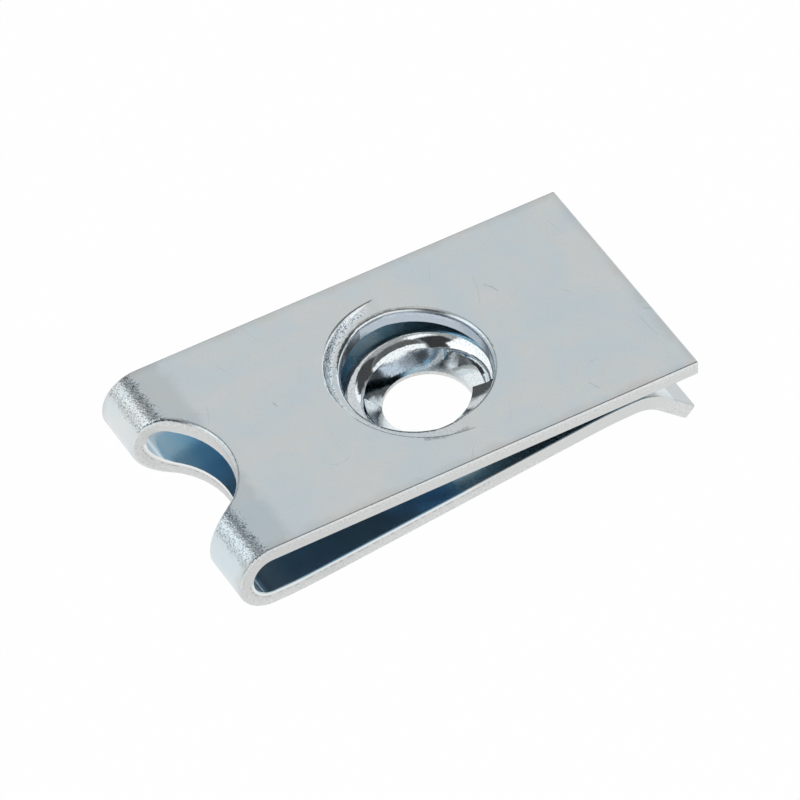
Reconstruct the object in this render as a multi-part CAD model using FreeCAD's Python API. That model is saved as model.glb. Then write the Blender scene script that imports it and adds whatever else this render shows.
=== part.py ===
import FreeCAD, Part
import math
import os
from FreeCAD import Placement, Rotation, Vector

# Sizes in millimetres and degrees. While the clip is being made, the zero point is on the
# top face of the top leaf at the middle of the clearance hole, with +X towards the open end
# and +Z up. The finished clip is then set down on its underside.

# The strip
strip_width = 13.0
sheet = 0.8
edge_round = 0.1

# Top leaf
hole_to_end = 11.38

# Fold: half a turn
hole_to_fold = 11.0
fold_radius = 1.0

# Lower leaf: climbs from the fold to a crest under the top leaf, then turns down in a lip
ease_radius = 20.0
hole_to_crest = 8.05
nip_gap = 0.06
crest_radius = 1.75
lip_slope = 42.0
lip_length = 2.1
tip_round = 0.25

# Notch punched through the strip where it is folded, which leaves two prongs
notch_length = 6.8
notch_width = 7.3
notch_round = 0.18

# Clearance hole in the top leaf
clear_radius = 3.72
rim_round = 0.25

# Half collar: the fold side of the clearance hole, sunk to seat in the hole of a panel
collar_shift = 0.65
collar_radius = 4.7
collar_hole_radius = 3.9
collar_tilt = 8.3
collar_wall_slope = 59.0
collar_round = 0.15

# Nut dish in the lower leaf: its rim follows one turn of the thread, from slit to slit
dish_shift = 0.62
dish_radius = 3.6
dish_bend = 1.0
dish_depth = 1.2
dish_margin = 0.6
screw_radius = 2.15
thread_pitch = 1.6
thread_land = 0.1
slit_angle = -27.0
slit_width = 0.12
slit_reach = 3.25

# How closely twisted forms follow their formulas: sections in half a turn. The wall of the
# screw hole is one face in each sector, so that each follows its stretch of thread
half_turn_sections = 11
wall_sector_angle = 45.0

# Overshoot of cutting shapes, and the margin for telling edges apart
over = 1.0
near = 1e-3

half_width = strip_width / 2
fold_mid = fold_radius + sheet / 2
crest_mid = crest_radius + sheet / 2
fold_axis = Vector(-hole_to_fold, 0, -sheet - fold_radius)
across = Vector(0, 1, 0)
upward = Vector(0, 0, 1)


def along(heading):
    """Unit vector along a heading in the side view, in radians from +X towards +Z."""
    return Vector(math.cos(heading), 0, math.sin(heading))


def left_of(heading):
    """Unit vector a quarter turn to the left of a heading in the side view."""
    return Vector(-math.sin(heading), 0, math.cos(heading))


def set_at(point, heading):
    """Placement with its zero at a point and its X along a heading."""
    return Placement(point, Rotation(across, -math.degrees(heading)))


def tangent_slope(run, rise, radius):
    """Slope of a straight climb that an arc, or two arcs of this joint radius, lead in and out of."""
    spread = math.hypot(radius - rise, run)
    return math.atan2(run, radius - rise) - math.acos(radius / spread)


def joined(pieces):
    """One solid from touching pieces."""
    return pieces[0].multiFuse(pieces[1:]).Solids[0]


def softened(solid, radius, chosen):
    """The solid with some of its edges rounded over, chosen by the point in their middle."""
    edges = []
    for edge in solid.Edges:
        if chosen(edge.valueAt((edge.FirstParameter + edge.LastParameter) / 2)):
            edges.append(edge)
    return solid.makeFillet(radius, edges).Solids[0]


def strip_section():
    """Cross-section of the strip with its four long edges rounded."""
    reach_y = half_width - edge_round
    reach_z = sheet / 2 - edge_round
    arcs = []
    for quarter, (side, top) in enumerate(((1, 1), (-1, 1), (-1, -1), (1, -1))):
        centre = Vector(0, side * reach_y, top * reach_z)
        spokes = [math.radians(90 * quarter + step) for step in (0, 45, 90)]
        ends = [centre + Vector(0, math.cos(a), math.sin(a)) * edge_round for a in spokes]
        arcs.append(Part.Arc(*ends))
    edges = []
    for arc, following in zip(arcs, arcs[1:] + arcs[:1]):
        edges.append(arc.toShape())
        edges.append(Part.makeLine(arc.EndPoint, following.StartPoint))
    return Part.Face(Part.Wire(edges))


def run_strip(point, heading, legs):
    """Sweep the strip through legs: a length, or a radius with the angle that it turns left."""
    pieces = []
    for size, turn in legs:
        section = strip_section()
        section.Placement = set_at(point, heading)
        if turn == 0:
            pieces.append(section.extrude(along(heading) * size))
            point = point + along(heading) * size
            continue
        sense = math.copysign(1.0, turn)
        centre = point + left_of(heading) * (sense * size)
        pieces.append(section.revolve(centre, -across * sense, math.degrees(abs(turn))))
        heading = heading + turn
        point = centre - left_of(heading) * (sense * size)
    return pieces, point, heading


def half_ring(radius, level):
    """Half ring sunk below a level: inside a cone that narrows downwards, over a tilted floor."""
    depth = collar_radius
    narrowing = depth / math.tan(math.radians(collar_wall_slope))
    cone = Part.makeCone(radius, radius - narrowing, depth, Vector(collar_shift, 0, level), -upward)
    reach = 2 * collar_radius
    slab = Part.makeBox(reach, 2 * reach, reach, Vector(-reach, -reach, 0))
    slab.Placement = Placement(
        Vector(collar_shift, 0, level), Rotation(across, -collar_tilt))
    return cone.common(slab)


def top_leaf():
    """Flat leaf with the sunk half collar round the fold side of its clearance hole."""
    start = Vector(-hole_to_fold, 0, -sheet / 2)
    leaf = run_strip(start, 0.0, ((hole_to_fold + hole_to_end, 0),))[0][0]
    spread = sheet * math.tan(math.radians(collar_wall_slope / 2))
    leaf = leaf.fuse(half_ring(collar_radius + spread, -sheet))
    leaf = leaf.cut(half_ring(collar_radius, 0.0))
    height = sheet + collar_radius
    base = Vector(0, 0, -height)
    front = Part.makeCylinder(clear_radius, height + over, base)
    rear = Part.makeCylinder(
        collar_hole_radius, height + over, base + Vector(collar_shift, 0, 0))
    leaf = leaf.cut(front.common(rear)).removeSplitter().Solids[0]

    def on_upper_rim(point):
        from_front = abs(math.hypot(point.x, point.y) - clear_radius)
        from_rear = abs(math.hypot(point.x - collar_shift, point.y) - collar_hole_radius)
        sunk = max(collar_shift - point.x, 0) * math.tan(math.radians(collar_tilt))
        return min(from_front, from_rear) < near and point.z > -sunk - sheet / 4

    def on_step(point):
        reach = math.hypot(point.x - collar_shift, point.y)
        return abs(reach - collar_radius) < near and abs(point.z) < near

    def on_free_end(point):
        return abs(point.x - hole_to_end) < near and abs(point.y) < near

    leaf = softened(leaf, rim_round, on_upper_rim)
    leaf = softened(leaf, collar_round, on_step)
    return softened(leaf, edge_round, on_free_end)


def dish_outline(depth, angle):
    """Outline of the dish in one radial plane, its rim at a depth below the leaf's top face."""
    rim = screw_radius - thread_land
    outer = dish_radius + dish_margin + over
    fall = tangent_slope(dish_radius - rim, depth, dish_bend)

    def at(reach, height):
        return Vector(reach * math.cos(angle), reach * math.sin(angle), height)

    def on_bend(radius, turn):
        return at(dish_radius - radius * math.sin(turn), radius * math.cos(turn) - dish_bend)

    under_bend = dish_bend - sheet
    corners = [
        on_bend(dish_bend, fall),
        at(rim, -depth),
        at(rim + sheet * math.sin(fall), -depth - sheet * math.cos(fall)),
        on_bend(under_bend, fall),
    ]
    ends = [on_bend(under_bend, 0), at(outer, -sheet), at(outer, 0), on_bend(dish_bend, 0)]
    edges = Part.makePolygon(corners).Edges
    edges.append(Part.Arc(corners[-1], on_bend(under_bend, fall / 2), ends[0]).toShape())
    edges += Part.makePolygon(ends).Edges
    edges.append(Part.Arc(ends[-1], on_bend(dish_bend, fall / 2), corners[0]).toShape())
    return Part.Wire(edges)


def half_dish(first):
    """Half a turn of the dish, from a share of the whole turn onwards."""
    outlines = []
    for step in range(half_turn_sections):
        share = first + step / (half_turn_sections - 1) / 2
        depth = dish_depth + thread_pitch * (0.5 - share)
        outlines.append(dish_outline(depth, math.radians(slit_angle) + 2 * math.pi * share))
    return Part.makeLoft(outlines, True, False)


def post(radius, sector_angle=360.0):
    """Round post along the screw's axis, in sectors, through the lower leaf and clear of its faces."""
    depth = dish_depth + thread_pitch + sheet
    count = math.ceil(360 / sector_angle)
    pieces = []
    for step in range(count):
        wedge = Part.makeCylinder(radius, depth + over, Vector(0, 0, -depth), upward, 360 / count)
        wedge.rotate(Vector(), upward, slit_angle + step * 360 / count)
        pieces.append(wedge)
    return pieces[0].multiFuse(pieces[1:])


def nut_dish():
    """The dished ring: both half turns, trimmed to true rounds, and parted by the slit."""
    ring = half_dish(0.0).fuse(half_dish(0.5))
    ring = ring.common(post(dish_radius + dish_margin)).cut(post(screw_radius, wall_sector_angle))
    bar = Part.makeBox(dish_radius, slit_width, dish_radius * 2)
    bar.translate(Vector(0, -slit_width / 2, -dish_radius))
    bar.rotate(Vector(), upward, slit_angle)
    return ring.cut(bar.common(post(slit_reach)))


def lower_leaf(point):
    """Leaf from the end of the fold, with the nut dish, the crest and the lip."""
    rise = 2 * fold_mid - sheet - nip_gap
    run = hole_to_fold + hole_to_crest
    slope = tangent_slope(run, rise, 2 * ease_radius)
    straight = (run - 2 * ease_radius * math.sin(slope)) / math.cos(slope)
    lip = math.radians(lip_slope)
    first, foot, heading = run_strip(point, 0.0, ((ease_radius, slope),))
    climb = (straight, 0)
    legs = (climb, (ease_radius, -slope), (crest_mid, -lip), (lip_length, 0))
    rest, tip, _ = run_strip(foot, heading, legs)

    def on_tip(middle):
        return middle.distanceToPoint(tip) < sheet * 0.6

    leaf = softened(joined(first + rest), tip_round, on_tip)
    face = foot + left_of(slope) * (sheet / 2)
    centre = face + along(slope) * ((dish_shift - face.x) / math.cos(slope))
    leaf.Placement = set_at(centre, slope).inverse()
    leaf = leaf.cut(post(dish_radius + dish_margin)).fuse(nut_dish())
    leaf.Placement = set_at(centre, slope)
    return leaf


def notch_tools():
    """Cutting shapes of the notch: upright through both leaves, square to the sheet in the fold."""
    half_length = notch_length / 2
    centre = fold_axis - Vector(fold_mid * math.pi / 2, 0, 0)
    low = centre - upward * (fold_mid + sheet / 2 + over)
    spans = [Vector(half_length, 0, 0), across * (notch_width / 2)]
    shorter, longer = sorted(spans, key=lambda span: span.Length)
    oval = Part.Ellipse(low + longer, low + shorter, low)
    tall = 2 * (centre.z - low.z)
    prism = Part.Face(Part.Wire(oval.toShape())).extrude(upward * tall)
    leaves = Part.makeBox(notch_length, strip_width, tall)
    leaves.translate(Vector(-hole_to_fold, -half_width, low.z))
    outlines = []
    for step in range(half_turn_sections):
        turn = math.pi * step / (half_turn_sections - 1)
        place = fold_mid * (turn - math.pi / 2) / half_length
        side = across * (notch_width / 2 * math.sqrt(1 - place ** 2))
        spoke = left_of(turn)
        inner = fold_axis + spoke * (fold_radius / 2)
        outer = fold_axis + spoke * (fold_radius + sheet + over)
        corners = [inner - side, outer - side, outer + side, inner + side]
        outlines.append(Part.makePolygon(corners + corners[:1]))
    return prism.common(leaves), Part.makeLoft(outlines, True, False)


def on_notch_rim(point):
    """Whether a point lies on the outer edge of the notch."""
    beside = min(point.x - fold_axis.x, 0)
    outside = math.hypot(beside, point.z - fold_axis.z) > fold_mid + sheet / 4
    inside = fold_axis.x - fold_mid * math.pi / 2 + notch_length / 2 + near
    return outside and point.x < inside and abs(point.y) < notch_width / 2 + near


def u_clip_nut():
    """The whole clip, one folded strip."""
    start = Vector(-hole_to_fold, 0, -sheet / 2)
    fold, end, _ = run_strip(start, math.pi, ((fold_mid, math.pi),))
    upright, square = notch_tools()
    leaves = [top_leaf().cut(upright), lower_leaf(end).cut(upright)]
    clip = softened(joined([fold[0].cut(square)] + leaves), notch_round, on_notch_rim)
    box = clip.optimalBoundingBox(False)
    clip.translate(Vector(-box.Center.x, -box.Center.y, -box.ZMin))
    return clip


os.makedirs("parts", exist_ok=True)
clip = u_clip_nut()
clip.exportStep("parts/u_clip_nut.step")
box = clip.optimalBoundingBox(False)
print("valid", clip.isValid(), "solids", len(clip.Solids), "volume", round(clip.Volume, 2))
print("size", round(box.XLength, 3), round(box.YLength, 3), round(box.ZLength, 3))
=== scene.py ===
import math

import bpy
from mathutils import Matrix, Vector

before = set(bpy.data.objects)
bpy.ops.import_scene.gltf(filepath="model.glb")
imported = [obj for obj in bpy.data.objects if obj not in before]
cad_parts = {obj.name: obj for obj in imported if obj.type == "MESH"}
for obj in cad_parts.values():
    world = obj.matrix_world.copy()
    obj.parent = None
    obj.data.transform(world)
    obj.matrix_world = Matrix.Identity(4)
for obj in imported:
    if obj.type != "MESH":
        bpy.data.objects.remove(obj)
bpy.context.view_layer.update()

# Camera of the photograph, in degrees and metres. The azimuth is that of the picture's own
# right-hand side, and the camera stands 90 degrees before it
VIEW_AZIMUTH = -28.473
VIEW_ELEVATION = 46.333
VIEW_ROLL = -2.063
VIEW_DISTANCE = 0.37059
VIEW_CENTRE = (0.00071, -0.00009, 0.003606)
VIEW_SHIFT = (0.000621, 0.001435)
LENS = 364.36
SENSOR = 36.0
NEAREST_SEEN = 0.01
FARTHEST_SEEN = 10

# The clip in millimetres, along the frame's own axes: its sheet, its fold, the slope and crest
# of the lower leaf, the sunk half collar and the nut dish
MM = 0.001
SHEET = 0.8
HALF_WIDTH = 6.5
OPEN_END = 12.09
FOLD_X = -10.29
FOLD_Z = 1.806
FOLD_MID = 1.4
LEAF_START = -9.14
LEAF_SLOPE = 0.1159
CREST_X = 8.76
CREST_CURVE = 0.23
COLLAR_X = 1.36
COLLAR_RADIUS = 4.7
COLLAR_HOLE = 3.9
DISH_X = 1.33
DISH_Z = 0.8
DISH_RADIUS = 3.6
SCREW_RADIUS = 2.15

# Light: a white sweep underneath, and lit panels in a grey room. Azimuths count from +X to +Y.
# FLOOR_SEEN is the share of plain white in what the camera and mirrors see of the sweep
FLOOR_REACH = 2.0
FLOOR_SEEN = 0.985
FLOOR_PAINT = (0.9, 0.9, 0.9, 1)
WHITE = (1, 1, 1, 1)
ROOM = 0.42
# Each panel: radiance, softness of its edges, and its corners (azimuth, elevation) in turn
PANELS = {
    "side_glow": (1.10, 0.06, ((-24, -3), (42, -3), (44, 20), (-24, 20))),
    "dim_side": (0.07, 0.10, ((-28, 24), (20, 24), (34, 64), (-28, 66))),
    "cream": (1.15, 0.10, ((14, 22), (42, 20), (44, 46), (22, 50))),
    "dim_front": (0.05, 0.10, ((-182, 12), (-132, 14), (-126, 64), (-182, 64))),
    "front_sky": (0.13, 0.16, ((-126, 34), (-28, 34), (-28, 70), (-126, 70))),
    "front_glow": (1.10, 0.06, ((-128, 2), (-30, 2), (-30, 34), (-128, 34))),
    "back": (0.755, 0.05, ((26, 18), (101, 18), (101, 76), (38, 76))),
    "seam": (0.10, 0.05, ((100, 30), (120, 30), (122, 76), (97, 76))),
    "left_box": (1.15, 0.05, ((113, 16), (194, 11), (196, 32), (134, 62))),
    "left_core": (1.32, 0.12, ((146, 13), (194, 11), (196, 32), (152, 54))),
    "left_floor": (0.95, 0.04, ((104, -3), (166, -3), (166, 10), (104, 10))),
    "sill": (0.06, 0.03, ((112, 11), (158, 10), (158, 16), (112, 17))),
    "back_sill": (0.08, 0.04, ((44, 3), (101, 3), (101, 17), (44, 17))),
    "top_box": (1.15, 0.08, ((-180, 68), (-118, 66), (-100, 84), (160, 82))),
}

# Tints of the plating, with painted shade in the inner and lip tints, a painted highlight in the
# step's
OUTER_COOL = (0.665, 0.755, 0.80, 1)
OUTER_WARM = (0.735, 0.765, 0.765, 1)
INNER_SHADE_COOL = (0.33, 0.53, 0.68, 1)
INNER_SHADE_WARM = (0.41, 0.60, 0.71, 1)
INNER_FOLD_SHADE = (0.54, 0.66, 0.73, 1)
LIP_SHADE_TINT = (0.74, 0.72, 0.70, 1)
DISH_TINT = (0.79, 0.84, 0.86, 1)
SHEARED_TINT = (0.78, 0.795, 0.79, 1)
HOLE_WALL_TINT = (0.56, 0.63, 0.71, 1)
STEP_HIGHLIGHT_TINT = (0.88, 0.94, 0.98, 1)
RIM_TINT = (0.91, 0.885, 0.865, 1)
GRIPPED_TINT = (0.86, 0.87, 0.88, 1)
MARK_TINT = (0.60, 0.62, 0.65, 1)
SPECK_TINT = (0.30, 0.35, 0.42, 1)

# Where one finish gives way to the next: start and end of each smooth step, in millimetres.
# Heights first, then places along the clip, one across it, and distances from an axis or rim
TOP_LEVEL = (3.3, 3.5)
DISH_LEVEL = (2.3, 2.6)
HOLE_WALL_LEVEL = (2.0, 2.3)
SUNK_TOP = (3.46, 3.56)
SUNK_BOTTOM = (2.5, 2.7)
SUNK_SIDE = (COLLAR_X - 0.4, COLLAR_X + 0.2)
INNER_FOLD_END = (-9.9, -8.9)
GRIPPED_END = (-9.1, -8.3)
FLAT_START = (-9.6, -9.0)
LIP_START = (9.0, 9.8)
STEP_SIDE = (-3.2, -1.0)
DISH_EDGE = (DISH_RADIUS, DISH_RADIUS + 0.4)
SUNK_EDGE = (COLLAR_RADIUS, COLLAR_RADIUS + 0.2)
STEP_FOOT = (COLLAR_RADIUS - 0.5, COLLAR_RADIUS - 0.35)
SHELF_RIM = (COLLAR_HOLE + 0.1, COLLAR_HOLE + 0.3)
CONE_RIM = (SCREW_RADIUS + 0.1, SCREW_RADIUS + 0.3)
HOLE_WALL_EDGE = (4.4, 4.8)
WORN_RIM = (0.3, 0.95)
# How far the worn rim wanders with its noise
WORN_DRIFT = 0.7

# Share of the normal along the sheet's thickness: below the first pair a face was sheared, and
# across the second it passes from inner to outer
SHEARED_SHARE = (0.3, 0.6)
OUTER_SHARE = (-0.25, 0.25)

# Crackle: its span round the fold in radians, how far that wanders, and its strength where it
# isn't full. Its pores: the noise that opens them, where round the fold they thin out, and the
# share that is left there
CRACKLE_FIRST = (0.06, 0.24)
CRACKLE_LAST = (0.86, 1.05)
CRACKLE_DRIFT = 0.3
DISH_CRACKLE = 0.3
SHELF_CRACKLE = 0.2
PORES = (0.53, 0.62)
PORES_THIN_OUT = (0.30, 0.50)
PORES_LEFT = 0.55

# Clouds: share of the fine noise in them, and the span from cool to warm
CLOUD_FINENESS = 0.25
CLOUD_SPAN = (0.36, 0.64)

# Hairline scratches: turn in radians and size in millimetres of each set, how far a set is
# shifted for each radian of turn, the squeeze that draws it out, the span of noise across half
# a line, the noise that keeps a stretch, and the strength of them all
HAIRLINE_SETS = ((0.4, 3.1), (1.7, 2.3))
HAIRLINE_SHIFT = (17, 5)
HAIRLINE_SQUEEZE = (1.0, 0.45, 1.0)
HAIRLINE_WIDTH = (0.0010, 0.0040)
HAIRLINE_KEPT = (0.64, 0.72)
HAIRLINE_DEPTH = 0.28

# Marks on the top face: ends and width in millimetres, and strength. The last two are the scuff
# below the hole. A streak fades over MARK_EDGE, in shares of its width, and it is rubbed
# through where a fine noise is low
MARKS = (
    ((6.18, 2.88), (6.42, 2.56), 0.05, 0.7),
    ((6.42, 2.56), (6.53, 2.24), 0.05, 0.6),
    ((-5.85, 1.35), (-5.80, 1.12), 0.06, 0.8),
    ((7.12, -5.04), (7.38, -5.60), 0.05, 0.5),
    ((-1.0, -4.22), (-0.19, -4.50), 0.20, 1.0),
    ((-0.19, -4.50), (0.95, -4.57), 0.17, 1.0),
)
MARK_EDGE = (0.2, 1.0)
RUBBED = (0.35, 0.6)
RUBBED_STRENGTH = (0.45, 1.0)

# Sheared edges. The tear is placed from -1 at the inner face of the sheet to 1 at the outer one,
# the rolled rim and the dotted line from -1 at a leaf's underside to 1 at its top. The pairs of the
# rim's painted highlight and of the dark line give the top leaf's strength, then the lower one's
EDGE_WAVER = 0.8
TEAR = (-0.35, 0.15)
STRIA_SQUEEZE = (1.0, 1.0, 0.12)
STRIA_HEIGHT = 0.45
BURNISHED_TONE = 1.02
TORN_TONE = 0.96
ROLLED_RIM = (0.55, 0.75)
ROLLED_RIM_HIGHLIGHT = (0.08, 0.30)
DOTTED_LINE = 0.42
DOTTED_WIDTH = 0.14
DOTTED_DARK = (0.06, 0.42)
DOTS = (0.42, 0.58)
CRUMB = (0.3, 0.7)
CRUMB_TONE = (0.86, 1.08)

# Relief in millimetres: the peel of flat and of crackled plating, the slow swell under both,
# and a cut edge and the hole's wall. The dish keeps a small share of its crackle as relief
PEEL = (0.0004, 0.024)
SWELL = 0.004
CUT_RELIEF = (0.010, 0.002)
DISH_RELIEF = 0.12

# Roughness of each finish, what clouds and marks add to it, and how metallic the bluer inner
# faces are
INNER_ROUGH = 0.14
OUTER_ROUGH = 0.2
CLOUD_ROUGH = 0.12
PRESSED_ROUGH = 0.12
DISH_ROUGH = 0.05
BURNISHED_ROUGH = 0.34
TORN_ROUGH = 0.46
HOLE_WALL_ROUGH = 0.16
MARK_ROUGH = 0.15
INNER_METAL = 0.85

# Vector arithmetic that gives a number
NUMBERED = ("DOT_PRODUCT", "LENGTH", "DISTANCE")


def view_axes():
    """Right, up and back vectors of the camera: back from azimuth and elevation, then rolled."""
    angles = (VIEW_AZIMUTH, VIEW_ELEVATION, VIEW_ROLL)
    azimuth, elevation, roll = (math.radians(angle) for angle in angles)
    level = Vector((math.cos(azimuth), math.sin(azimuth), 0))
    away = Vector((math.sin(azimuth), -math.cos(azimuth), 0))
    back = away * math.cos(elevation) + Vector((0, 0, math.sin(elevation)))
    upright = back.cross(level)
    right = level * math.cos(roll) + upright * math.sin(roll)
    return right, upright * math.cos(roll) - level * math.sin(roll), back


def add_camera():
    """The camera of the photograph, moved aside in its own plane to frame the clip as there."""
    right, up, back = view_axes()
    aside = right * VIEW_SHIFT[0]
    place = Vector(VIEW_CENTRE) + back * VIEW_DISTANCE - aside - up * VIEW_SHIFT[1]
    data = bpy.data.cameras.new("camera")
    data.lens = LENS
    data.sensor_width = SENSOR
    data.clip_start = NEAREST_SEEN
    data.clip_end = FARTHEST_SEEN
    camera = bpy.data.objects.new("camera", data)
    bpy.context.scene.collection.objects.link(camera)
    camera.matrix_world = Matrix((
        (right.x, up.x, back.x, place.x),
        (right.y, up.y, back.y, place.y),
        (right.z, up.z, back.z, place.z),
        (0, 0, 0, 1)))
    bpy.context.scene.camera = camera


def feed(tree, socket, value):
    """Link a socket into another one, or write a plain value on it."""
    if isinstance(value, bpy.types.NodeSocket):
        tree.links.new(value, socket)
    else:
        socket.default_value = value


def put(tree, kind, inputs=None, **settings):
    """One node with its settings; each input is a plain value, or a socket to link from."""
    made = tree.nodes.new("ShaderNode" + kind)
    for name, value in settings.items():
        setattr(made, name, value)
    for name, value in (inputs or {}).items():
        feed(tree, made.inputs[name], value)
    return made


def sums(tree, operation, *values):
    """One step of arithmetic on numbers or sockets."""
    return put(tree, "Math", dict(enumerate(values)), operation=operation).outputs[0]


def product(tree, first, *others):
    """Product of numbers or sockets."""
    for other in others:
        first = sums(tree, "MULTIPLY", first, other)
    return first


def most(tree, first, *others):
    """Largest of numbers or sockets."""
    for other in others:
        first = sums(tree, "MAXIMUM", first, other)
    return first


def vector_sums(tree, operation, *values):
    """One step of arithmetic on vectors; a dot product, length or distance is a number."""
    made = put(tree, "VectorMath", dict(enumerate(values)), operation=operation)
    return made.outputs["Value" if operation in NUMBERED else "Vector"]


def scaled(tree, vector, size):
    """A vector or colour times a number."""
    return put(tree, "VectorMath", {0: vector, "Scale": size}, operation="SCALE").outputs["Vector"]


def ease(tree, value, start, end, low=0.0, high=1.0):
    """Smooth step of a value from start to end, put out as low to high."""
    inputs = {"Value": value, "From Min": start, "From Max": end, "To Min": low, "To Max": high}
    return put(tree, "MapRange", inputs, interpolation_type="SMOOTHSTEP").outputs["Result"]


def fade(tree, value, start, end):
    """Smooth step down from one to nothing."""
    return ease(tree, value, start, end, 1.0, 0.0)


def mixed(tree, share, first, second, **settings):
    """Mix of two colours or two numbers by a share, with the node's own settings."""
    made = put(tree, "Mix", **settings)
    sockets = [socket for socket in made.inputs if socket.enabled]
    for socket, value in zip(sockets, (share, first, second)):
        feed(tree, socket, value)
    return next(socket for socket in made.outputs if socket.enabled)


def between(tree, share, first, second):
    """A number between two others by a share."""
    return mixed(tree, share, first, second, data_type="FLOAT")


def blend(tree, share, first, second):
    """A colour between two others by a share."""
    return mixed(tree, share, first, second, data_type="RGBA")


def tinted(tree, colour, tint, share):
    """A colour multiplied by a tint as far as a share says."""
    return mixed(tree, share, colour, tint, data_type="RGBA", blend_type="MULTIPLY")


def grain(tree, place, size, detail=3.0, roughness=0.55, warp=0.0):
    """Noise with features of a size in millimetres."""
    return put(tree, "TexNoise", {
        "Vector": place, "Scale": 1 / size, "Detail": detail, "Roughness": roughness,
        "Distortion": warp}).outputs["Fac"]


def new_group(name, inputs, outputs):
    """Empty shader group with named sockets: its tree, what it is given, and what it puts out."""
    tree = bpy.data.node_groups.new(name, "ShaderNodeTree")
    for direction, sockets in (("INPUT", inputs), ("OUTPUT", outputs)):
        for label, kind in sockets.items():
            tree.interface.new_socket(label, in_out=direction, socket_type="NodeSocket" + kind)
    return tree, tree.nodes.new("NodeGroupInput").outputs, tree.nodes.new("NodeGroupOutput").inputs


def placed(tree, group, inputs):
    """What a group puts out, once it is placed in a tree with its inputs."""
    return put(tree, "Group", inputs, node_tree=group).outputs


def sheet_sides():
    """Which side of the folded sheet a point lies on, from its place and its normal.

    The sheet's own direction of thickness points away from the fold's axis round the bend, and
    straight up or down on the two leaves. Face is the normal's share along it: 1 on the outer
    faces, -1 on the inner ones and 0 on the sheared edges. Across runs through the thickness
    from -1 at the inner face to 1 at the outer one. Turn is the angle round the fold from the
    top, in radians, and Lower is one on the lower leaf.
    """
    tree, given, out = new_group(
        "sheet_sides", {"Place": "Vector", "Normal": "Vector"},
        {"Sheared": "Float", "Outer": "Float", "Across": "Float", "Turn": "Float",
         "Lower": "Float"})
    place = put(tree, "SeparateXYZ", {"Vector": given["Place"]}).outputs
    beside = sums(tree, "MINIMUM", sums(tree, "SUBTRACT", place["X"], FOLD_X), 0.0)
    above = sums(tree, "SUBTRACT", place["Z"], FOLD_Z)
    spoke = put(tree, "CombineXYZ", {"X": beside, "Z": above}).outputs[0]
    face = vector_sums(tree, "DOT_PRODUCT", given["Normal"], vector_sums(tree, "NORMALIZE", spoke))

    # The lower leaf climbs from the fold at an even slope, and curves down past its crest
    climb = sums(tree, "MAXIMUM", sums(tree, "SUBTRACT", place["X"], LEAF_START), 0.0)
    past = sums(tree, "MAXIMUM", sums(tree, "SUBTRACT", place["X"], CREST_X), 0.0)
    dip = product(tree, past, past, CREST_CURVE)
    lift = sums(tree, "SUBTRACT", sums(tree, "MULTIPLY", climb, LEAF_SLOPE), dip)
    lower = sums(tree, "LESS_THAN", above, 0.0)
    reach = sums(tree, "ADD", vector_sums(tree, "LENGTH", spoke), product(tree, lift, lower))
    across = sums(tree, "DIVIDE", sums(tree, "SUBTRACT", reach, FOLD_MID), SHEET / 2)
    turn = sums(tree, "ARCTAN2", sums(tree, "MULTIPLY", beside, -1.0), above)

    tree.links.new(fade(tree, sums(tree, "ABSOLUTE", face), *SHEARED_SHARE), out["Sheared"])
    tree.links.new(ease(tree, face, *OUTER_SHARE), out["Outer"])
    tree.links.new(across, out["Across"])
    tree.links.new(turn, out["Turn"])
    tree.links.new(lower, out["Lower"])
    return tree


def clouded_plating():
    """Clouds in the plating: how far it drifts from cool to warm, and how matt each cloud is."""
    tree, given, out = new_group(
        "clouded_plating", {"Place": "Vector"}, {"Warmth": "Float", "Matt": "Float"})
    slow = grain(tree, given["Place"], size=3.2, detail=2.0, roughness=0.6, warp=0.6)
    fine = grain(tree, given["Place"], size=0.6, detail=2.0, roughness=0.5)
    cloud = between(tree, CLOUD_FINENESS, slow, fine)
    tree.links.new(ease(tree, cloud, *CLOUD_SPAN), out["Warmth"])
    tree.links.new(fine, out["Matt"])
    return tree


def hairlines():
    """Fine curved scratches: level lines of a slow noise, broken up by a second one."""
    tree, given, out = new_group("hairlines", {"Place": "Vector"}, {"Mark": "Float"})
    total = 0.0
    for turn, size in HAIRLINE_SETS:
        spot = put(tree, "Mapping", {
            "Vector": given["Place"],
            "Location": (turn * HAIRLINE_SHIFT[0], turn * HAIRLINE_SHIFT[1], 0),
            "Rotation": (0, 0, turn), "Scale": HAIRLINE_SQUEEZE}).outputs[0]
        slow = grain(tree, spot, size=size, detail=0.0)
        level = sums(tree, "ABSOLUTE", sums(tree, "SUBTRACT", slow, 0.5))
        kept = ease(tree, grain(tree, spot, size=1.1, detail=0.0), *HAIRLINE_KEPT)
        total = most(tree, total, product(tree, fade(tree, level, *HAIRLINE_WIDTH), kept))
    tree.links.new(total, out["Mark"])
    return tree


def stroke():
    """One scratch or scuff: a soft streak along the line between two points on the top face."""
    tree, given, out = new_group(
        "stroke", {"Place": "Vector", "From": "Vector", "To": "Vector", "Width": "Float"},
        {"Mark": "Float"})
    rest = vector_sums(tree, "SUBTRACT", given["Place"], given["From"])
    line = vector_sums(tree, "SUBTRACT", given["To"], given["From"])
    along = vector_sums(tree, "DOT_PRODUCT", rest, line)
    share = sums(tree, "DIVIDE", along, vector_sums(tree, "DOT_PRODUCT", line, line))
    held = put(tree, "Clamp", {"Value": share}).outputs[0]
    aside = vector_sums(tree, "SUBTRACT", rest, scaled(tree, line, held))
    away = sums(tree, "DIVIDE", vector_sums(tree, "LENGTH", aside), given["Width"])
    tree.links.new(fade(tree, away, *MARK_EDGE), out["Mark"])
    return tree


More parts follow.
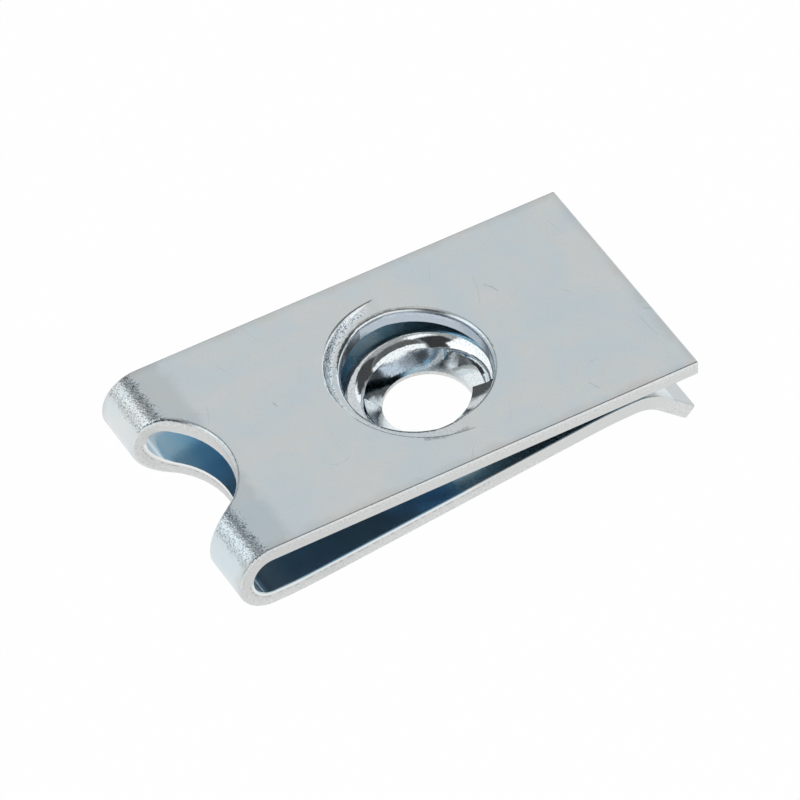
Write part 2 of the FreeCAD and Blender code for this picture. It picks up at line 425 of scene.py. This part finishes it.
def sheared_edge():
    """A sheared edge: a burnished band, then a torn one, both with striations through the sheet.

    Rise runs upwards through each leaf. The upper rim is rolled, and a painted highlight is laid
    along it; a dotted dark line runs below it.
    """
    tree, given, out = new_group(
        "sheared_edge", {"Place": "Vector", "Across": "Float", "Lower": "Float"},
        {"Tone": "Float", "Height": "Float", "Torn": "Float"})
    wobble = sums(tree, "SUBTRACT", grain(tree, given["Place"], size=0.6, detail=2.0), 0.5)
    level = sums(tree, "ADD", given["Across"], sums(tree, "MULTIPLY", wobble, EDGE_WAVER))
    torn = ease(tree, level, *TEAR)
    squeezed = put(tree, "Mapping", {
        "Vector": given["Place"], "Scale": STRIA_SQUEEZE}).outputs[0]
    striae = grain(tree, squeezed, size=0.09, detail=1.0, roughness=0.5)
    pits = grain(tree, given["Place"], size=0.11, detail=3.0, roughness=0.65)
    crumb = between(tree, torn, sums(tree, "MULTIPLY", striae, STRIA_HEIGHT), pits)

    rise = product(tree, given["Across"], between(tree, given["Lower"], 1.0, -1.0))
    # Painted highlight along the rolled upper rim, stronger on the lower leaf
    light = product(
        tree, ease(tree, rise, *ROLLED_RIM), between(tree, given["Lower"], *ROLLED_RIM_HIGHLIGHT))
    dots = ease(tree, grain(tree, given["Place"], size=0.16, detail=1.0), *DOTS)
    from_line = sums(tree, "ABSOLUTE", sums(tree, "SUBTRACT", rise, DOTTED_LINE))
    line = product(
        tree, fade(tree, from_line, 0.0, DOTTED_WIDTH), dots,
        between(tree, given["Lower"], *DOTTED_DARK))
    tone = between(tree, torn, BURNISHED_TONE, TORN_TONE)
    tone = sums(tree, "SUBTRACT", sums(tree, "ADD", tone, light), line)

    tree.links.new(product(tree, tone, ease(tree, crumb, *CRUMB, *CRUMB_TONE)), out["Tone"])
    tree.links.new(crumb, out["Height"])
    tree.links.new(torn, out["Torn"])
    return tree


def face_colour(tree, axes, outer, warmth, dish):
    """Face tints, with painted shade on the inner faces and the lip, and how far each takes the
    outer tint.
    """
    outside = blend(tree, warmth, OUTER_COOL, OUTER_WARM)
    # Painted shade: the inner faces are tinted darker and bluer than the outer ones, and lighter
    # inside the fold
    inside = blend(tree, warmth, INNER_SHADE_COOL, INNER_SHADE_WARM)
    inside = blend(tree, fade(tree, axes["X"], *INNER_FOLD_END), inside, INNER_FOLD_SHADE)
    lip = ease(tree, axes["X"], *LIP_START)
    outer_like = most(tree, outer, dish, lip)
    colour = blend(tree, dish, blend(tree, outer_like, inside, outside), DISH_TINT)
    # Painted shade: the lip's inner face is tinted darker
    lip_shade = product(tree, lip, sums(tree, "SUBTRACT", 1.0, outer))
    return tinted(tree, colour, LIP_SHADE_TINT, lip_shade), outer_like


def worn_colour(tree, place, axes, colour, outer, on_top):
    """Wear along the rims of the top face, and the greyer stretch that was gripped to bend it."""
    drift = grain(tree, place, size=1.1, detail=2.0)
    beside = sums(tree, "SUBTRACT", HALF_WIDTH, sums(tree, "ABSOLUTE", axes["Y"]))
    inward = sums(tree, "MINIMUM", beside, sums(tree, "SUBTRACT", OPEN_END, axes["X"]))
    ragged = sums(tree, "ADD", inward, sums(tree, "MULTIPLY", drift, WORN_DRIFT))
    worn = fade(tree, ragged, *WORN_RIM)
    colour = tinted(tree, colour, RIM_TINT, product(tree, worn, outer))
    gripped = fade(tree, sums(tree, "ADD", axes["X"], drift), *GRIPPED_END)
    return tinted(tree, colour, GRIPPED_TINT, product(tree, gripped, outer, on_top))


def scratched(tree, place, axes, flat, on_top):
    """How strongly each point of the top face is scratched or scuffed."""
    one_stroke = stroke()
    scuffs = 0.0
    for start, end, width, strength in MARKS:
        inputs = {"Place": flat, "From": (*start, 0), "To": (*end, 0), "Width": width}
        streak = placed(tree, one_stroke, inputs)["Mark"]
        scuffs = most(tree, scuffs, product(tree, streak, strength))
    rubbed = ease(tree, grain(tree, place, size=0.12, detail=1.0), *RUBBED, *RUBBED_STRENGTH)
    flats = product(tree, on_top, ease(tree, axes["X"], *FLAT_START))
    scratch = placed(tree, hairlines(), {"Place": place})["Mark"]
    return most(
        tree, product(tree, scuffs, rubbed, on_top),
        product(tree, scratch, flats, HAIRLINE_DEPTH))


def crackled_share(tree, place, axes, sides, dish, reach):
    """How strongly the plating has crackled where the sheet was stretched.

    It is strongest on the upper part of the bend and on the step of the sunk half collar. The
    nut dish and the collar's shelf have less of it, and the flats none. The masks of the step
    and of the whole sunk part are given too. Reach is the distance from the collar's axis.
    """
    ragged = sums(tree, "SUBTRACT", grain(tree, place, size=0.5, detail=1.0), 0.5)
    turn = sums(tree, "ADD", sides["Turn"], sums(tree, "MULTIPLY", ragged, CRACKLE_DRIFT))
    bend = product(
        tree, ease(tree, turn, *CRACKLE_FIRST), fade(tree, turn, *CRACKLE_LAST), sides["Outer"])

    sunk = product(
        tree, fade(tree, axes["Z"], *SUNK_TOP), ease(tree, axes["Z"], *SUNK_BOTTOM),
        fade(tree, axes["X"], *SUNK_SIDE), fade(tree, reach, *SUNK_EDGE))
    step = product(
        tree, sunk, ease(tree, reach, *STEP_FOOT), ease(tree, axes["Y"], *STEP_SIDE))
    share = most(
        tree, bend, product(tree, dish, DISH_CRACKLE), step, product(tree, sunk, SHELF_CRACKLE))
    return share, step, sunk


def pressed_walls(tree, flat, reach, dish, sunk):
    """Steep walls that were pressed, not cut, and so keep the finish of the faces."""
    bore = vector_sums(tree, "DISTANCE", flat, (DISH_X, 0.0, 0.0))
    cone = product(tree, dish, ease(tree, bore, *CONE_RIM))
    return most(tree, cone, product(tree, sunk, ease(tree, reach, *SHELF_RIM)))


def plated_steel():
    """Bright zinc plating on spring steel: satin outer faces, mirror-like inner faces with darker,
    bluer painted shade.
    """
    material = bpy.data.materials.new("zinc_plated_steel")
    material.use_nodes = True
    tree = material.node_tree
    tree.nodes.clear()

    # Places on the clip, in millimetres
    where = put(tree, "TexCoord").outputs
    place = put(tree, "Mapping", {"Vector": where["Object"], "Scale": (1 / MM,) * 3}).outputs[0]
    axes = put(tree, "SeparateXYZ", {"Vector": place}).outputs
    flat = put(tree, "CombineXYZ", {"X": axes["X"], "Y": axes["Y"]}).outputs[0]
    reach = vector_sums(tree, "DISTANCE", flat, (COLLAR_X, 0.0, 0.0))
    sides = placed(tree, sheet_sides(), {"Place": place, "Normal": where["Normal"]})
    outer = sides["Outer"]
    on_top = ease(tree, axes["Z"], *TOP_LEVEL)
    from_dish = vector_sums(tree, "DISTANCE", place, (DISH_X, 0.0, DISH_Z))
    dish = product(
        tree, fade(tree, from_dish, *DISH_EDGE), fade(tree, axes["Z"], *DISH_LEVEL))

    clouds = placed(tree, clouded_plating(), {"Place": place})
    colour, outer_like = face_colour(tree, axes, outer, clouds["Warmth"], dish)
    colour = worn_colour(tree, place, axes, colour, outer, on_top)
    mark = scratched(tree, place, axes, flat, on_top)
    colour = tinted(tree, colour, MARK_TINT, mark)

    # Stretched plating crackles into a fine orange peel with dark pores
    crackled, step, sunk = crackled_share(tree, place, axes, sides, dish, reach)
    # The collar's step is tinted lighter: a painted highlight
    colour = blend(tree, step, colour, STEP_HIGHLIGHT_TINT)
    fine = grain(tree, place, size=0.10, detail=2.0, roughness=0.6)
    depth = ease(tree, sides["Turn"], *PORES_THIN_OUT, 1.0, PORES_LEFT)
    pores = product(tree, ease(tree, fine, *PORES), crackled, depth)
    colour = tinted(tree, colour, SPECK_TINT, pores)

    # Sheared edges, and the punched wall of the clearance hole, which is tinted cooler and darker
    pressed = pressed_walls(tree, flat, reach, dish, sunk)
    sheared = product(tree, sides["Sheared"], sums(tree, "SUBTRACT", 1.0, pressed))
    edge = placed(tree, sheared_edge(), {
        "Place": place, "Across": sides["Across"], "Lower": sides["Lower"]})
    wall = product(
        tree, fade(tree, reach, *HOLE_WALL_EDGE), ease(tree, axes["Z"], *HOLE_WALL_LEVEL))
    pale = blend(tree, wall, SHEARED_TINT, HOLE_WALL_TINT)
    colour = blend(tree, sheared, colour, scaled(tree, pale, edge["Tone"]))

    # Relief. The press left the dish smoother than the bend
    creased = product(tree, crackled, between(tree, dish, 1.0, DISH_RELIEF))
    peel = product(tree, fine, between(tree, creased, *PEEL))
    swell = product(tree, grain(tree, place, size=0.8, detail=1.0), SWELL)
    cut = product(tree, edge["Height"], between(tree, wall, *CUT_RELIEF))
    height = between(tree, sheared, sums(tree, "ADD", peel, swell), cut)
    bump = put(tree, "Bump", {"Height": height, "Distance": MM, "Strength": 1.0})

    satin = sums(tree, "ADD", OUTER_ROUGH, product(tree, clouds["Matt"], CLOUD_ROUGH))
    rough = between(tree, outer, INNER_ROUGH, satin)
    rough = between(tree, most(tree, crackled, sunk), rough, PRESSED_ROUGH)
    rough = between(tree, dish, rough, DISH_ROUGH)
    cut_rough = between(tree, edge["Torn"], BURNISHED_ROUGH, TORN_ROUGH)
    cut_rough = between(tree, wall, cut_rough, HOLE_WALL_ROUGH)
    rough = between(tree, sheared, rough, cut_rough)
    rough = sums(tree, "ADD", rough, product(tree, mark, MARK_ROUGH))

    shader = put(tree, "BsdfPrincipled", {
        "Base Color": colour, "Metallic": between(tree, outer_like, INNER_METAL, 1.0),
        "Roughness": rough, "Normal": bump.outputs[0]})
    tree.links.new(shader.outputs[0], put(tree, "OutputMaterial").inputs["Surface"])
    return material


def white_floor():
    """Matt white sweep that camera, mirror and glass see nearly pure white, with a faint shadow."""
    material = bpy.data.materials.new("white_floor")
    material.use_nodes = True
    tree = material.node_tree
    tree.nodes.clear()
    ray = put(tree, "LightPath").outputs
    seen = most(tree, ray["Is Camera Ray"], ray["Is Glossy Ray"], ray["Is Transmission Ray"])
    matt = put(tree, "BsdfDiffuse", {"Color": FLOOR_PAINT})
    white = put(tree, "Emission", {"Color": WHITE, "Strength": 1.0})
    sweep = put(tree, "MixShader", {
        0: product(tree, seen, FLOOR_SEEN), 1: matt.outputs[0], 2: white.outputs[0]})
    tree.links.new(sweep.outputs[0], put(tree, "OutputMaterial").inputs["Surface"])
    return material


def add_floor():
    """One square of floor under the clip, which isn't part of it."""
    mesh = bpy.data.meshes.new("floor")
    r = FLOOR_REACH
    mesh.from_pydata([(-r, -r, 0), (r, -r, 0), (r, r, 0), (-r, r, 0)], [], [(0, 1, 2, 3)])
    floor = bpy.data.objects.new("floor", mesh)
    bpy.context.scene.collection.objects.link(floor)
    mesh.materials.append(white_floor())


def heading(azimuth, elevation):
    """Unit vector towards an azimuth and elevation in degrees."""
    a, e = math.radians(azimuth), math.radians(elevation)
    return Vector((math.cos(a) * math.cos(e), math.sin(a) * math.cos(e), math.sin(e)))


def lit_panel():
    """Mask of a flat four-sided panel.

    Each side's vector is the normal of the plane through the eye and that side, divided by the
    softness of the edge. The smallest of the four dot products is above nothing inside, and the
    mask rises over half a softness on either side of the edge.
    """
    sides = {f"Side {n}": "Vector" for n in range(4)}
    tree, given, out = new_group("lit_panel", {"Direction": "Vector", **sides}, {"Mask": "Float"})
    nearest = 1.0
    for name in sides:
        inside = vector_sums(tree, "DOT_PRODUCT", given["Direction"], given[name])
        nearest = sums(tree, "MINIMUM", nearest, inside)
    tree.links.new(ease(tree, nearest, -0.5, 0.5), out["Mask"])
    return tree


def add_world():
    """Grey room with the lit panels laid over it, each on top of those before it."""
    world = bpy.data.worlds.new("studio")
    bpy.context.scene.world = world
    world.use_nodes = True
    tree = world.node_tree
    tree.nodes.clear()
    direction = put(tree, "TexCoord").outputs["Generated"]
    panel = lit_panel()
    level = ROOM
    for radiance, softness, corners in PANELS.values():
        spokes = [heading(*corner) for corner in corners]
        centre = sum(spokes, Vector())
        inputs = {"Direction": direction}
        for n, (first, second) in enumerate(zip(spokes, spokes[1:] + spokes[:1])):
            side = first.cross(second).normalized()
            inputs[f"Side {n}"] = (side if side.dot(centre) > 0 else -side) / softness
        level = between(tree, placed(tree, panel, inputs)["Mask"], level, radiance)
    light = put(tree, "Background", {"Color": WHITE, "Strength": level})
    tree.links.new(light.outputs[0], put(tree, "OutputWorld").inputs["Surface"])


add_camera()
add_floor()
add_world()
bpy.context.scene.view_settings.view_transform = "Standard"
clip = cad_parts["u_clip_nut"]
clip.data.materials.clear()
clip.data.materials.append(plated_steel())
